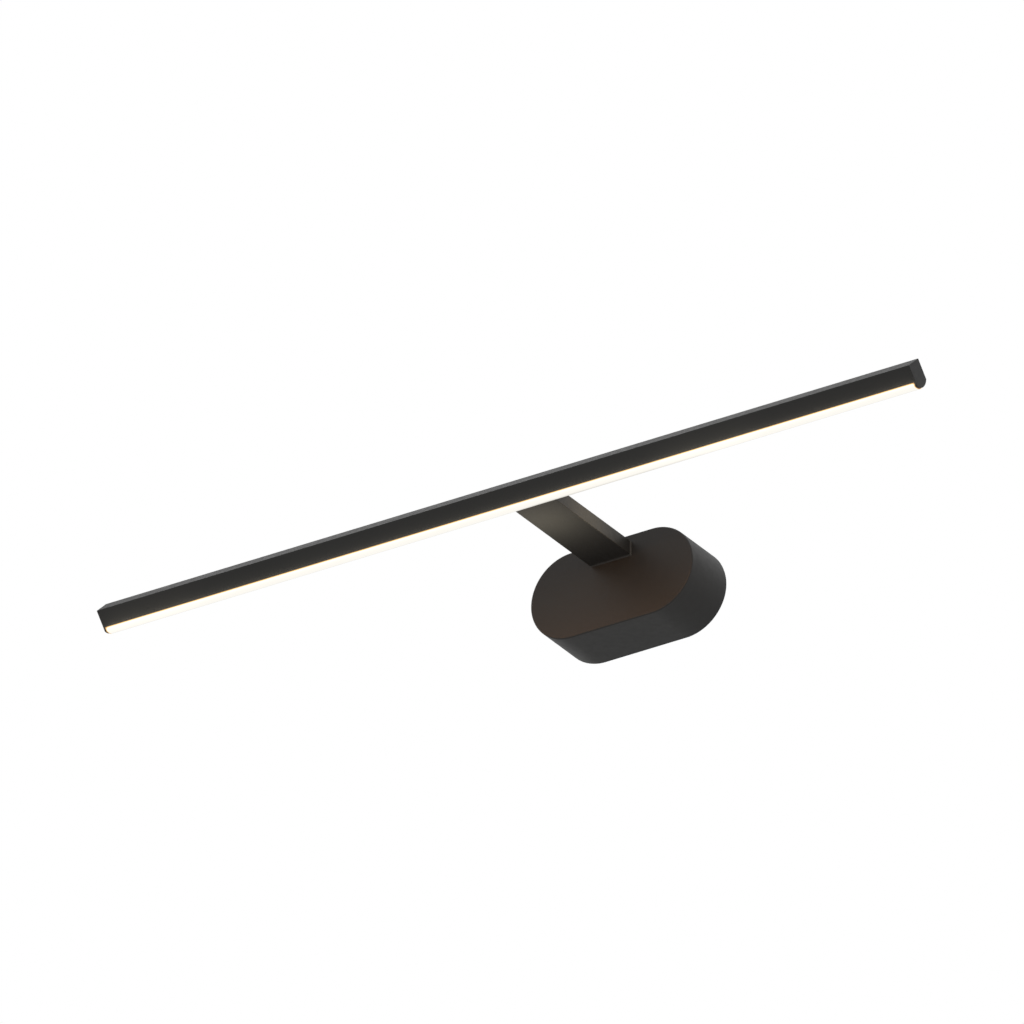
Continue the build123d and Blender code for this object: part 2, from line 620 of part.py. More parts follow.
def pivot_nuts():
    plane = Plane(origin=(TONGUE_IN - NUT_T, 0, 0), z_dir=(1, 0, 0))
    nut = extrude(plane * RegularPolygon(NUT_AF / 2, 6, major_radius=False), amount=NUT_T)
    return mirrored(nut - rod(M3_HOLE, (0, 0, 0), (TONGUE_IN, 0, 0)))


def friction_washers():
    """Disc between each tongue and its ear. It holds the bar where it is put."""
    gap = 0.05
    return mirrored(ring(3.8, M3_FREE, (TONGUE_OUT + gap, 0, 0), (EAR_IN - gap, 0, 0)))


# ---------------------------------------------------------------- bar (hinge frame)
def along_bar(sketch, length):
    """A sketch of the bar's section, drawn with +Y towards the wall, made as long as length."""
    plane = Plane(origin=(-length / 2, 0, 0), x_dir=(0, 1, 0), z_dir=(1, 0, 0))
    return extrude(plane * sketch, amount=length)


def section_box(half, top, bottom):
    """A rectangle of the bar's section: its half width, and its depths below the top face."""
    return Pos(MID_Y, TOP_Z - (top + bottom) / 2) * Rectangle(2 * half, bottom - top)


def dome(inset=0.0, depth=DOME_DEPTH):
    """An outline below the seam, drawn in by inset: short straight sides and a shallow arc."""
    half, rise = PROFILE_W / 2, depth - DOME_SIDE
    radius = (half**2 + rise**2) / (2 * rise)
    circle = Pos(MID_Y, SEAM_Z - depth + radius) * Circle(radius - inset)
    outline = circle & section_box(half - inset, PROFILE_H, PROFILE_H + depth)
    return fillet([v for v in outline.vertices() if v.Y < SEAM_Z - 1], 0.6)


CLIP_TOP, CLIP_BOTTOM = 10.2, 10.8
CLIP_DEPTH = 0.3


def bar_profile():
    """Extrusion: a wire chamber above the LED shelf, and an open channel with clip grooves below it."""
    outer = section_box(PROFILE_W / 2, 0, PROFILE_H)
    top = [v for v in outer.vertices() if v.Y > TOP_Z - 0.1]
    outer = fillet(top, 0.4)
    outer -= section_box(WALL_IN, SKIN, WEB_TOP)
    outer -= section_box(WALL_IN, WEB_TOP + WEB_T, PROFILE_H)
    outer -= section_box(WALL_IN + CLIP_DEPTH, CLIP_TOP, CLIP_BOTTOM)
    body = along_bar(outer, BAR_LENGTH)
    body -= rod(GROMMET_R, (0, REAR_Y, GROMMET_Z), (0, REAR_Y - SKIN, GROMMET_Z))
    hole = rod(M3_FREE, (PLATE_SCREW_X, REAR_Y, CHAMBER_Z), (PLATE_SCREW_X, REAR_Y - SKIN, CHAMBER_Z))
    for solid in mirrored(hole):
        body -= solid
    return body - core_slot()


def core_slot():
    """Slot in the shelf, tape and board that lets the two cores reach the LED side."""
    half_x, half_y = 1.2, 2.4
    low = TOP_Z - WEB_TOP - WEB_T - TAPE_T - LED_BOARD_T
    return block(
        CORE_X - half_x, CORE_X + half_x, MID_Y - half_y, MID_Y + half_y, low, TOP_Z - WEB_TOP
    )


def thermal_tape():
    top = WEB_TOP + WEB_T
    return along_bar(section_box(LED_BOARD_W / 2, top, top + TAPE_T), LED_BOARD_L) - core_slot()


def led_board():
    top = WEB_TOP + WEB_T + TAPE_T
    sketch = section_box(LED_BOARD_W / 2, top, top + LED_BOARD_T)
    return along_bar(sketch, LED_BOARD_L) - core_slot()


def led_chips():
    """One row of chips at an even pitch."""
    z = TOP_Z - WEB_TOP - WEB_T - TAPE_T - LED_BOARD_T
    pitch = LED_BOARD_L / LED_COUNT
    chip = block(-LED_X / 2, LED_X / 2, MID_Y - LED_Y / 2, MID_Y + LED_Y / 2, z - LED_T, z)
    first = -pitch * (LED_COUNT - 1) / 2
    return [Pos(first + i * pitch, 0, 0) * chip for i in range(LED_COUNT)]


def diffuser():
    """Domed opal cover with two legs that clip into the extrusion."""
    sketch = dome() - dome(DIFFUSER_T)
    gap = 0.05
    leg_out = WALL_IN - gap
    legs = section_box(leg_out, PROFILE_H - LEG_H, PROFILE_H + FLANGE_T)
    legs += section_box(leg_out + CLIP_DEPTH - gap, CLIP_TOP + gap, CLIP_BOTTOM - gap)
    sketch += legs
    sketch += dome() & section_box(PROFILE_W / 2, PROFILE_H, PROFILE_H + FLANGE_T)
    sketch -= section_box(leg_out - LEG_T, 0, PROFILE_H + FLANGE_T)
    return along_bar(sketch, BAR_LENGTH)


def end_cap():
    """Cap with the bar's outline, domed at the bottom, and a plug that fits the wire chamber."""
    outline = section_box(PROFILE_W / 2, 0, PROFILE_H) + dome(depth=CAP_DEPTH)
    top = [v for v in outline.vertices() if v.Y > TOP_Z - 0.1]
    outline = fillet(top, 0.4)
    cap = Pos(BAR_LENGTH / 2 + END_CAP / 2, 0, 0) * along_bar(outline, END_CAP)
    outer_face = cap.faces().sort_by(Axis.X)[-1]
    cap = fillet(outer_face.edges(), 0.25)
    plug = section_box(WALL_IN - CLEAR, SKIN + CLEAR, WEB_TOP - CLEAR)
    plug -= section_box(WALL_IN - 1.2, SKIN + 1.2, WEB_TOP - 1.2)
    plug_length = 8.0
    return cap + Pos((BAR_LENGTH - plug_length) / 2, 0, 0) * along_bar(plug, plug_length)


def lead_in_bar():
    """The lead from the rear wall into the wire chamber, where it turns along the bar."""
    points = [
        (0, REAR_Y + PLATE_T - CLEAR, GROMMET_Z),
        (0, LEAD_Y, GROMMET_Z),
        (7.0, LEAD_Y, CHAMBER_Z),
        (LEAD_TURN_X, LEAD_Y, CHAMBER_Z),
    ]
    return tube(points, LEAD_D)


def led_cores():
    """Two cores from the lead's end, down through the shelf to the board's pads."""
    low = TOP_Z - WEB_TOP - WEB_T - TAPE_T - LED_BOARD_T - 0.3
    cores = []
    for side in (-1, 1):
        y = MID_Y + side * CORE_GAP
        points = [
            (LEAD_TURN_X, LEAD_Y + side * 0.7, CHAMBER_Z),
            (LEAD_TURN_X + 2, LEAD_Y + side * 0.7, CHAMBER_Z),
            (CORE_X - 3, y, CHAMBER_Z),
            (CORE_X, y, CHAMBER_Z),
            (CORE_X, y, low),
        ]
        cores.append(tube(points, CORE_D))
    return cores


def lead_at_hinge():
    """The short flexible stretch over the hinge axis, from the fork's web to the bar's rear wall."""
    into_bar = [
        (bar_place() * Pos(0, y, GROMMET_Z)).position for y in (-2.0, REAR_Y + PLATE_T)
    ]
    points = [(0, FORK_FACE_Y, ARM_Z), (0, HINGE_Y + 1.5, ARM_Z)]
    return tube(points + [tuple(spot) for spot in into_bar], LEAD_D)


# ---------------------------------------------------------------- all parts
FIXED = {
    "canopy_cover": canopy_cover,
    "wall_seal": wall_seal,
    "wall_bracket": wall_bracket,
    "cable_grommet": cable_grommet,
    "cover_screws": cover_screws,
    "bracket_earth_screw": bracket_earth_screw,
    "bracket_earth_washer": bracket_earth_washer,
    "terminal_block": terminal_block,
    "terminal_clamps": terminal_clamps,
    "terminal_screws": terminal_screws,
    "block_screws": block_screws,
    "live_wire": lambda: tube(LIVE_ROUTE, WIRE_D),
    "neutral_wire": lambda: tube(NEUTRAL_ROUTE, WIRE_D),
    "earth_wire": lambda: tube(EARTH_ROUTE, WIRE_D),
    "earth_lug": earth_lug,
    "canopy_earth_screw": canopy_earth_screw,
    "driver_case": driver_case,
    "driver_lid": driver_lid,
    "driver_board": driver_board,
    "driver_transformer": driver_transformer,
    "driver_winding": driver_winding,
    "driver_capacitors": driver_capacitors,
    "driver_choke": driver_choke,
    "driver_chips": driver_chips,
    "driver_screws": driver_screws,
    "cable_bush": cable_bush,
    "arm_foot_seal": arm_foot_seal,
    "arm_tube": arm_tube,
    "arm_anchor": arm_anchor,
    "arm_screws": arm_screws,
    "arm_washers": arm_washers,
    "anchor_screws": lambda: top_screws(ANCHOR_SCREW_Y),
    "hinge_fork": hinge_fork,
    "fork_screws": lambda: top_screws(FORK_SCREW_Y),
    "lead_in_arm": lambda: tube(LEAD_ROUTE, LEAD_D),
    "lead_at_hinge": lead_at_hinge,
}
TURNING = {
    "hinge_bracket": hinge_bracket,
    "bracket_screws": bracket_screws,
    "bar_grommet": bar_grommet,
    "nut_plate": nut_plate,
    "pivot_screws": pivot_screws,
    "pivot_nuts": pivot_nuts,
    "friction_washers": friction_washers,
    "bar_profile": bar_profile,
    "thermal_tape": thermal_tape,
    "led_board": led_board,
    "led_chips": led_chips,
    "diffuser": diffuser,
    "end_cap_right": end_cap,
    "end_cap_left": lambda: mirror(end_cap(), about=Plane.YZ),
    "lead_in_bar": lead_in_bar,
    "led_cores": led_cores,
}


def write(name, made, place=None):
    """One STEP file for each sub-part."""
    solids = made if isinstance(made, list) else [made]
    if place is not None:
        solids = [place * s for s in solids]
    shape = Compound(children=[s for one in solids for s in one.solids()])
    export_step(shape, f"parts/{name}.step")


def main():
    os.makedirs("parts", exist_ok=True)
    for name, make in FIXED.items():
        write(name, make())
    for name, make in TURNING.items():
        write(name, make(), bar_place())


main()
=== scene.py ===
import json
import math

import bmesh
import bpy
from mathutils import Matrix, Quaternion, Vector


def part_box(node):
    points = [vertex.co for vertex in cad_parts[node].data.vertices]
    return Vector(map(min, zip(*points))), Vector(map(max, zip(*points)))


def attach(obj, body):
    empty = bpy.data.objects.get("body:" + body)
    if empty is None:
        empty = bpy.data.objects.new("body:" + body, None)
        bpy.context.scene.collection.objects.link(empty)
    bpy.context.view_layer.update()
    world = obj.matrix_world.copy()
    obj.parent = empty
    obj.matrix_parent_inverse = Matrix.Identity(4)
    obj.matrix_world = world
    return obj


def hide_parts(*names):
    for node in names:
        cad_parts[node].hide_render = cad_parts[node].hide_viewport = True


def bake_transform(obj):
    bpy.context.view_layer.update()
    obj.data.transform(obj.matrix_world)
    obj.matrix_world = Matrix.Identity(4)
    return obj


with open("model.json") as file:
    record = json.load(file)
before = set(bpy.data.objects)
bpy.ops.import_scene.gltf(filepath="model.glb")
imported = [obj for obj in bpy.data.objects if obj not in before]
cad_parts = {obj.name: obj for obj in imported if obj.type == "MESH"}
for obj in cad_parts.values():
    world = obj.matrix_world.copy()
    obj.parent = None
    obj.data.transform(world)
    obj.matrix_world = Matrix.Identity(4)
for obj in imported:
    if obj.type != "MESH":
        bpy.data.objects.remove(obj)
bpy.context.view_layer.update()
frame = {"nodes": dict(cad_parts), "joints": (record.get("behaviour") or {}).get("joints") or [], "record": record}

# ---------------------------------------------------------------- view and frame
AZIMUTH, ELEVATION, ROLL = 32.55, -28.10, -0.10  # degrees
VIEW_WIDTH = 0.6398  # metres across the picture
AIM_LEFT, AIM_UP = 0.06202, 0.04425  # the picture's centre, from the middle of the canopy's face
CAMERA_DISTANCE = 0.9
CLIP_NEAR, CLIP_FAR = 0.01, 30

REST_TILT = math.radians(42)  # the bar's turn at rest, from lighting straight down
TURN = Matrix.Rotation(REST_TILT, 3, "X")
HINGE = Vector(frame["joints"][0]["pos_m"])

scene = bpy.context.scene
scene.view_settings.view_transform = "Standard"
scene.view_settings.look = "None"
scene.render.film_transparent = False


def link(name, data):
    obj = bpy.data.objects.new(name, data)
    scene.collection.objects.link(obj)
    return obj


def on_bar(x, y, z):
    """Where a point of the bar's own frame, in which the bar lights straight down, is at rest."""
    return HINGE + TURN @ Vector((x, y, z))


def bar_box(node):
    """A node's lowest and highest corners in the bar's own frame."""
    back = TURN.transposed()
    spots = [back @ (v.co - HINGE) for v in frame["nodes"][node].data.vertices]
    return tuple(Vector(f(spot[i] for spot in spots) for i in range(3)) for f in (min, max))


def make_camera():
    low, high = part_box("canopy_cover")
    face = Vector(((low.x + high.x) / 2, low.y, (low.z + high.z) / 2))
    a, e = math.radians(AZIMUTH), math.radians(ELEVATION)
    back = Vector((math.sin(a) * math.cos(e), -math.cos(a) * math.cos(e), math.sin(e)))
    right = Vector((math.cos(a), math.sin(a), 0))
    up = back.cross(right)
    data = bpy.data.cameras.new("camera")
    data.type = "ORTHO"
    data.ortho_scale = VIEW_WIDTH
    data.clip_start, data.clip_end = CLIP_NEAR, CLIP_FAR
    cam = link("camera", data)
    cam.rotation_mode = "QUATERNION"
    aim = face - right * AIM_LEFT + up * AIM_UP
    cam.location = aim + back * CAMERA_DISTANCE
    roll = Quaternion((0, 0, 1), math.radians(ROLL))
    cam.rotation_quaternion = (-back).to_track_quat("-Z", "Y") @ roll
    scene.camera = cam


# ---------------------------------------------------------------- node helpers
class Shader:
    """A node material under construction."""

    def __init__(self, name):
        self.mat = bpy.data.materials.new(name)
        self.mat.use_nodes = True
        self.nodes = self.mat.node_tree.nodes
        self.links = self.mat.node_tree.links
        self.bsdf = self.nodes["Principled BSDF"]
        self.coords = self.add("ShaderNodeTexCoord").outputs["Object"]

    def add(self, kind, **values):
        node = self.nodes.new(kind)
        for key, value in values.items():
            setattr(node, key, value)
        return node

    def wire(self, out, into):
        self.links.new(out, into)

    def into(self, socket, out):
        self.wire(out, self.bsdf.inputs[socket])

    def set(self, **values):
        """Uniform values, set on the shader's own sockets."""
        for key, value in values.items():
            if isinstance(value, tuple):
                value = (*value, 1)
            self.bsdf.inputs[key.replace("_", " ")].default_value = value

    def noise(self, scale, detail=3.0, rough=0.5, stretch=None):
        node = self.add("ShaderNodeTexNoise")
        node.inputs["Scale"].default_value = scale
        node.inputs["Detail"].default_value = detail
        node.inputs["Roughness"].default_value = rough
        coords = self.coords
        if stretch:
            mapping = self.add("ShaderNodeMapping")
            mapping.inputs["Scale"].default_value = stretch
            self.wire(coords, mapping.inputs["Vector"])
            coords = mapping.outputs["Vector"]
        self.wire(coords, node.inputs["Vector"])
        return node.outputs["Fac"]

    def cells(self, scale):
        node = self.add("ShaderNodeTexVoronoi")
        node.inputs["Scale"].default_value = scale
        self.wire(self.coords, node.inputs["Vector"])
        return node.outputs["Distance"]

    def along(self, axis, origin=(0, 0, 0)):
        """Distance from origin along an axis of the object's frame, in metres."""
        shift = self.add("ShaderNodeVectorMath", operation="SUBTRACT")
        shift.inputs[1].default_value = origin
        self.wire(self.coords, shift.inputs[0])
        dot = self.add("ShaderNodeVectorMath", operation="DOT_PRODUCT")
        dot.inputs[1].default_value = axis
        self.wire(shift.outputs["Vector"], dot.inputs[0])
        return dot.outputs["Value"]

    def math(self, operation, *values):
        node = self.add("ShaderNodeMath", operation=operation)
        for socket, value in zip(node.inputs, values):
            if isinstance(value, (int, float)):
                socket.default_value = value
            else:
                self.wire(value, socket)
        return node.outputs["Value"]

    def range(self, value, low, high, from_low=0.3, from_high=0.7):
        """Low to high as the value goes from from_low to from_high, by default a noise's span."""
        node = self.add("ShaderNodeMapRange")
        node.inputs["From Min"].default_value = from_low
        node.inputs["From Max"].default_value = from_high
        node.inputs["To Min"].default_value = low
        node.inputs["To Max"].default_value = high
        self.wire(value, node.inputs["Value"])
        return node.outputs["Result"]

    def share(self, value, whole):
        """How far the value has come on its way from 0 to whole, from 0 to 1."""
        return self.range(value, 0.0, 1.0, 0.0, whole)

    def ramp(self, value, stops):
        node = self.add("ShaderNodeValToRGB")
        elements = node.color_ramp.elements
        while len(elements) < len(stops):
            elements.new(0.5)
        for element, (place, colour) in zip(elements, stops):
            element.position = place
            element.color = (*colour, 1)
        self.wire(value, node.inputs["Fac"])
        return node.outputs["Color"]

    def bump(self, height, distance, strength, normal=None):
        node = self.add("ShaderNodeBump")
        node.inputs["Distance"].default_value = distance
        node.inputs["Strength"].default_value = strength
        self.wire(height, node.inputs["Height"])
        if normal is not None:
            self.wire(normal, node.inputs["Normal"])
        return node.outputs["Normal"]

    def drift(self, mask, colour, spread):
        """A base colour that drifts by a share of itself to either side."""
        stops = [(0.3, tint(colour, 1 - spread)), (0.7, tint(colour, 1 + spread))]
        self.into("Base Color", self.ramp(mask, stops))


def tint(colour, factor):
    return tuple(min(1.0, c * factor) for c in colour)


# ---------------------------------------------------------------- materials
# A noise's scale is its number of features in a metre; a bump's distance is its height in metres.
BLACK = (0.0200, 0.0195, 0.0188)
COAT_GRAIN, COAT_SWELL, COAT_PATCH = 2600, 260, 18  # scales, from the finest to the broadest
COAT_ROUGH = 0.45
CLOUD = 60  # scale of a metal's clouds of colour and gloss
FOAM_PITS = 1500
STRIPE_SLANT = (0.577, 0.577, 0.577)  # the stripes cross a wire along any axis
STRIPE_PITCH, STRIPE_ROUGH = 0.0022, 0.4
TRACKS, BOARD_ROUGH = 330, 0.35


def powder_coat(name):
    """Fine black powder coat: an orange-peel swell under a grain, and a faint patchiness."""
    s = Shader(name)
    grain = s.noise(COAT_GRAIN, 2.0, 0.6)
    swell = s.noise(COAT_SWELL)
    s.drift(s.noise(COAT_PATCH), BLACK, 0.06)
    s.into("Roughness", s.range(swell, COAT_ROUGH - 0.04, COAT_ROUGH + 0.04))
    s.into("Normal", s.bump(grain, 0.00004, 0.35, s.bump(swell, 0.0001, 0.25)))
    return s.mat


def moulded(name, colour, rough, grain=900, depth=0.00003, spread=0.06):
    """Moulded plastic or rubber: a fine spark-eroded grain and a slight colour drift."""
    s = Shader(name)
    fine = s.noise(grain, 3.0, 0.55)
    s.drift(s.noise(grain / 30), colour, spread)
    s.into("Roughness", s.range(fine, rough - 0.05, rough + 0.05))
    s.into("Normal", s.bump(fine, depth, 0.4))
    return s.mat


def metal(name, colour, rough, stretch=None, scratch=420):
    """Plated, rolled or turned metal: drawn-out scratches, and cloudy colour and gloss."""
    s = Shader(name)
    lines = s.noise(scratch, 4.0, 0.6, stretch)
    cloud = s.noise(CLOUD, 4.0, 0.55)
    s.drift(cloud, colour, 0.08)
    both = s.math("ADD", lines, s.math("MULTIPLY", cloud, 0.5))
    s.into("Roughness", s.range(both, rough - 0.08, rough + 0.1, 0.5, 1.0))
    s.into("Normal", s.bump(lines, 0.00002, 0.35))
    s.set(Metallic=1.0)
    return s.mat


def foam(name, colour):
    """Closed-cell foam: small open pits on a dull skin, with painted shade darkening the pits."""
    s = Shader(name)
    pits = s.cells(FOAM_PITS)
    # painted shade: the colour darkens towards the middle of each pit
    s.into("Base Color", s.ramp(pits, [(0.1, tint(colour, 0.6)), (0.6, tint(colour, 1.15))]))
    s.into("Roughness", s.range(pits, 0.95, 0.8, 0.0, 0.6))
    s.into("Normal", s.bump(pits, 0.0002, 0.7))
    return s.mat


def striped(name, ground, stripe):
    """Insulation with a stripe wound round it."""
    s = Shader(name)
    wave = s.math("PINGPONG", s.along(STRIPE_SLANT), STRIPE_PITCH)
    s.into("Base Color", s.ramp(s.share(wave, STRIPE_PITCH), [(0.62, ground), (0.68, stripe)]))
    fine = s.noise(1500, 2.0)
    s.into("Roughness", s.range(fine, STRIPE_ROUGH - 0.05, STRIPE_ROUGH + 0.05))
    s.into("Normal", s.bump(fine, 0.00001, 0.4))
    return s.mat


def circuit(name, mask, copper):
    """Solder mask over etched tracks."""
    s = Shader(name)
    tracks = s.cells(TRACKS)
    s.into("Base Color", s.ramp(tracks, [(0.36, mask), (0.42, copper)]))
    fine = s.noise(2200, 2.0)
    s.into("Roughness", s.range(fine, BOARD_ROUGH - 0.05, BOARD_ROUGH + 0.07))
    s.into("Normal", s.bump(tracks, 0.00003, 0.5))
    return s.mat


def wound(name, colour, pitch, rough, metallic):
    """A coil: turns side by side along X, as ridges, with painted shade darkening the grooves between turns."""
    s = Shader(name)
    ridge = s.math("PINGPONG", s.along((1, 0, 0)), pitch)
    # painted shade: the colour darkens into the grooves between turns
    stops = [(0.0, tint(colour, 0.45)), (0.6, colour)]
    s.into("Base Color", s.ramp(s.share(ridge, pitch), stops))
    s.into("Roughness", s.range(s.noise(900), rough - 0.05, rough + 0.08))
    s.into("Normal", s.bump(ridge, 1.0, 0.6))
    s.set(Metallic=metallic)
    return s.mat


# the bar's section, in the bar's own frame: the opal dome hangs below the extrusion from the seam
DOME_LOW, DOME_HIGH = bar_box("diffuser")
PROFILE_LOW, PROFILE_HIGH = bar_box("bar_profile")
SEAM_Z = PROFILE_LOW.z
CAP_DEPTH = SEAM_Z - bar_box("end_cap_right")[0].z  # the dome is deeper, with a lip below the caps

SEAM_SHADE_BAND = 0.0008  # metres from the dome's seams and ends over which the painted shade at its edges fades to the full light level
SEAM_SHADE_ROUNDING = 0.0020  # how far from a corner of the dome its two painted-shade edges run into each other
LIP_SHADE_FADE = 3.0  # how much faster than the rest the painted shade fades on the lip below the end caps
PAINTED_SEAM_SHADE = [  # emitted colour with painted shade at the seams and end caps, dimmer and warmer towards the very edge, from the very edge to the full level
    (0.0, (0.26, 0.07, 0.003)),
    (0.35, (0.80, 0.375, 0.010)),
    (0.75, (0.97, 0.81, 0.40)),
    (1.0, (0.945, 0.917, 0.850)),
]


def opal():
    """Lit opal acrylic, with painted shade in its emitted colour: dimmer and warmer in a narrow band at the seams
    and end caps.
    """
    s = Shader("opal_lit")
    below_seam = s.along(TURN @ Vector((0, 0, -1)), on_bar(0, 0, SEAM_Z))
    from_left = s.along((1, 0, 0), on_bar(DOME_LOW.x, 0, 0))
    from_right = s.along((-1, 0, 0), on_bar(DOME_HIGH.x, 0, 0))
    past_cap = s.math("MAXIMUM", s.math("SUBTRACT", below_seam, CAP_DEPTH), 0.0)
    lip = s.math("MULTIPLY", past_cap, LIP_SHADE_FADE)
    from_end = s.math("ADD", s.math("MINIMUM", from_left, from_right), lip)
    nearest = s.math("SMOOTH_MIN", below_seam, from_end, SEAM_SHADE_ROUNDING)
    haze = s.noise(700, 2.0)
    level = s.math("ADD", nearest, s.math("MULTIPLY", haze, 0.00002))
    # painted shade: the dome's emission is dimmed and warmed near the seams and end caps
    s.into("Emission Color", s.ramp(s.share(level, SEAM_SHADE_BAND), PAINTED_SEAM_SHADE))
    s.into("Roughness", s.range(haze, 0.32, 0.40))
    s.into("Normal", s.bump(haze, 0.00001, 0.3))
    s.set(Base_Color=(0.12, 0.115, 0.10), Emission_Strength=1.0)
    s.set(Coat_Weight=0.8, Coat_Roughness=0.08, Coat_IOR=1.4)
    return s.mat


# by the CAD's material slot
MATERIALS = {
    "black_coat": powder_coat("powder_coat_steel"),
    "black_cast": powder_coat("powder_coat_aluminium"),
    "black_screw": metal("blackened_screw", (0.045, 0.045, 0.047), 0.42, scratch=900),
    "opal": opal(),
    "zinc_steel": metal("zinc_plate", (0.60, 0.61, 0.63), 0.36, (0.15, 1, 1)),
    "seal_foam": foam("closed_cell_foam", (0.035, 0.035, 0.035)),
    "foot_seal": moulded("foot_pad", (0.082, 0.080, 0.076), 0.6, grain=1400),
    "black_rubber": moulded("rubber", (0.022, 0.022, 0.022), 0.7, grain=1200),
    "terminal_white": moulded("terminal_plastic", (0.78, 0.78, 0.75), 0.4, spread=0.03),
    "brass": metal("brass", (0.75, 0.55, 0.24), 0.3, scratch=700),
    "wire_brown": moulded("wire_brown", (0.12, 0.05, 0.02), 0.4, grain=1500),
    "wire_blue": moulded("wire_blue", (0.02, 0.08, 0.35), 0.4, grain=1500),
    "wire_earth": striped("wire_earth", (0.05, 0.30, 0.04), (0.75, 0.62, 0.05)),
    "lead_black": moulded("lead_sheath", (0.02, 0.02, 0.02), 0.5, grain=1500),
    "driver_plastic": moulded("driver_plastic", (0.70, 0.71, 0.70), 0.5, spread=0.03),
    "board_green": circuit("solder_mask_green", (0.02, 0.14, 0.05), (0.05, 0.24, 0.08)),
    "ferrite": moulded("ferrite", (0.05, 0.05, 0.055), 0.5, grain=1800, depth=0.00006),
    "coil_tape": moulded("coil_tape", (0.75, 0.55, 0.08), 0.3, spread=0.1),
    "copper_wire": wound("enamelled_copper", (0.60, 0.24, 0.10), 0.0004, 0.3, 0.9),
    "can_black": moulded("sleeve_black", (0.03, 0.03, 0.06), 0.3),
    "chip_black": moulded("moulded_black", (0.03, 0.03, 0.03), 0.5, grain=1800),
    "tape_grey": moulded("thermal_tape", (0.45, 0.45, 0.45), 0.7, grain=1600),
    "board_white": circuit("solder_mask_white", (0.82, 0.82, 0.78), (0.74, 0.74, 0.70)),
    "led_yellow": moulded("phosphor", (0.85, 0.62, 0.12), 0.4, grain=2500),
    "friction_pad": moulded("friction_lining", (0.06, 0.06, 0.06), 0.8, grain=1600, depth=0.00008),
}

for entry in frame["record"]["subparts"]:
    node = frame["nodes"][entry["node"]]
    node.material_slots[0].material = MATERIALS[entry["material_slot"]]

# ---------------------------------------------------------------- the lead across the hinge
TUBE_SIDES = 32
CURVE_STEPS = 10  # to each control point
FORK_SIDE = (0.0034, 0.0008)  # control points' Y from the hinge axis, as the lead leaves the fork
BAR_SIDE = (-0.0012, -0.0030)  # and in the bar's frame, where it enters the bar


def smooth_path(points):
    """Points along a NURBS curve with the given control points."""
    curve = bpy.data.curves.new("path", "CURVE")
    curve.dimensions = "3D"
    curve.resolution_u = CURVE_STEPS
    spline = curve.splines.new("NURBS")
    spline.points.add(len(points) - 1)
    for control, spot in zip(spline.points, points):
        control.co = (*spot, 1)
    spline.order_u = 3
    spline.use_endpoint_u = True
    holder = bpy.data.objects.new("path", curve)
    mesh = bpy.data.meshes.new_from_object(holder)
    spots = [v.co.copy() for v in mesh.vertices]
    bpy.data.objects.remove(holder)
    bpy.data.curves.remove(curve)
    bpy.data.meshes.remove(mesh)
    return spots


def tube_mesh(name, path, radius):
    """A round tube along a path that stays in the plane X = 0, closed at both ends."""
    bm = bmesh.new()
    side = Vector((1, 0, 0))
    rings = []
    for i, spot in enumerate(path):
        way = (path[min(i + 1, len(path) - 1)] - path[max(i - 1, 0)]).normalized()
        up = way.cross(side)
        ring = []
        for k in range(TUBE_SIDES):
            turn = 2 * math.pi * k / TUBE_SIDES
            out = side * math.cos(turn) + up * math.sin(turn)
            ring.append(bm.verts.new(spot + radius * out))
        rings.append(ring)
    for first, second in zip(rings, rings[1:]):
        for k in range(TUBE_SIDES):
            n = (k + 1) % TUBE_SIDES
            bm.faces.new((first[k], first[n], second[n], second[k]))
    bm.faces.new(rings[0])
    bm.faces.new(reversed(rings[-1]))
    bmesh.ops.recalc_face_normals(bm, faces=bm.faces)
    mesh = bpy.data.meshes.new(name)
    bm.to_mesh(mesh)
    bm.free()
    for face in mesh.polygons:
        face.use_smooth = len(face.vertices) == 4
    return link(name, mesh)


def make_hinge_lead():
    """Flexible lead from the fork's web to the bar, bent across the hinge at the bar's rest tilt."""
    low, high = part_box("lead_at_hinge")
    radius = (high.x - low.x) / 2
    hole_low, hole_high = bar_box("bar_grommet")
    hole_z = (hole_low.z + hole_high.z) / 2
    start = Vector((0, high.y, HINGE.z))
    end = on_bar(0, bar_box("lead_at_hinge")[0].y, hole_z)
    points = [start]
    points += [Vector((0, HINGE.y + y, HINGE.z)) for y in FORK_SIDE]
    points += [on_bar(0, y, hole_z) for y in BAR_SIDE]
    points += [end]
    lead = tube_mesh("lead_across_hinge", smooth_path(points), radius)
    lead.data.materials.append(MATERIALS["lead_black"])
    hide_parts("lead_at_hinge")
    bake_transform(lead)


# ---------------------------------------------------------------- stage and light
FLOOR_Z, FLOOR_SIZE = -1.0, 8
WORLD_LIGHT = 0.515
AIM = Vector((0, -0.1, 0))  # the middle of the object, which the studio's lamps face

WHITE, ORANGE = (1.0, 1.0, 1.0), (1.0, 0.39, 0.04)
CREAM, WARM_WHITE = (1.0, 0.90, 0.72), (1.0, 0.93, 0.78)

# large soft boxes: place, side, watts
STUDIO = {
    "overhead": ((0.2, -0.5, 1.4), 1.4, 0.82),
    "back_high": ((0.3, 1.1, 0.9), 0.8, 0.40),
    "back_left": ((-0.76, 0.87, 1.1), 0.6, 0.80),
}

DOME_MID = (DOME_LOW.y + DOME_HIGH.y) / 2
DOME_LENGTH = DOME_HIGH.x - DOME_LOW.x
BAR_DEPTH = PROFILE_HIGH.y - PROFILE_LOW.y
GAP = 0.0003  # keeps a lamp clear of the dome's surface
AT_SEAM = (PROFILE_LOW.y - 0.0030, SEAM_Z - 0.0015)  # Y and Z just in front of the seam
IN_FRONT = (PROFILE_LOW.y - 0.010, SEAM_Z - 0.006)  # and further out
UP_AND_BACK = (0, 0.5, 0.87)  # facing, towards the bar's front face
WARM_PATCH = (0.07, 0.003)  # size of a lamp that warms a stretch of that face
